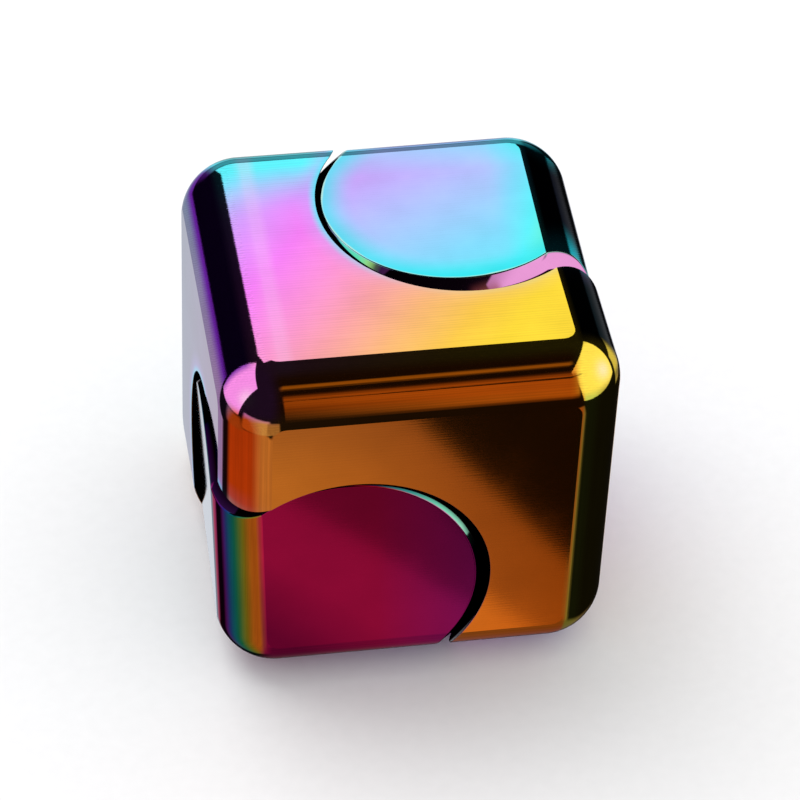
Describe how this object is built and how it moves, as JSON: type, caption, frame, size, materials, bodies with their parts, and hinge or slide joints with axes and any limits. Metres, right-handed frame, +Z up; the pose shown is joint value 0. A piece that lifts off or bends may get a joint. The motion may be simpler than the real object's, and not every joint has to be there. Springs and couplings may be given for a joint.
{
  "type": "fidget spinner cube",
  "caption": "Round-edged metal cube whose two opposite ball-sided corner caps share one axle and turn in a ball bearing on the cube's diagonal, as a finger spinner.",
  "frame": {"origin": "the cube's centre, where the spin axis crosses it", "axes": "+Z up, square to the body's flat top; +X and +Y square to the body's right and back faces; the spin axis runs along (1, 1, 1), from the lower left front corner to the upper right back corner"},
  "size_m": [0.031, 0.031, 0.031],
  "materials": {
    "rainbow_body": "mirror-bright rainbow plating over fine milling lines, running from violet and cyan to pink, orange and gold",
    "rainbow_cap": "mirror-bright rainbow plating, lilac and cyan on the upper cap and crimson to violet on the lower cap",
    "bearing_steel": "ground and polished bearing steel",
    "shield_steel": "pressed sheet steel, satin",
    "pin_steel": "turned steel, satin",
    "cage_brass": "machined brass, satin"
  },
  "bodies": {
    "spinner": {"spinner_body": "rainbow_body", "bearing_outer_race": "bearing_steel", "upper_bearing_shield": "shield_steel", "lower_bearing_shield": "shield_steel"},
    "corner_caps": {"upper_corner_cap": "rainbow_cap", "lower_corner_cap": "rainbow_cap", "axle_pin": "pin_steel", "upper_spacer_washer": "pin_steel", "lower_spacer_washer": "pin_steel", "bearing_inner_race": "bearing_steel"},
    "ball_cage": {"bearing_cage": "cage_brass", "bearing_ball_01": "bearing_steel", "bearing_ball_02": "bearing_steel", "bearing_ball_03": "bearing_steel", "bearing_ball_04": "bearing_steel", "bearing_ball_05": "bearing_steel", "bearing_ball_06": "bearing_steel", "bearing_ball_07": "bearing_steel", "bearing_ball_08": "bearing_steel", "bearing_ball_09": "bearing_steel", "bearing_ball_10": "bearing_steel"}
  },
  "joints": [
    {"name": "cap_spin", "type": "hinge", "parent": "spinner", "child": "corner_caps", "pos_m": [0, 0, 0], "axis": [0.5774, 0.5774, 0.5774], "continuous": true},
    {"name": "cage_spin", "type": "hinge", "parent": "spinner", "child": "ball_cage", "pos_m": [0, 0, 0], "axis": [0.5774, 0.5774, 0.5774], "continuous": true}
  ],
  "couplings": [
    {"joint": "cage_spin", "follows": "cap_spin", "ratio": 0.41706}
  ]
}
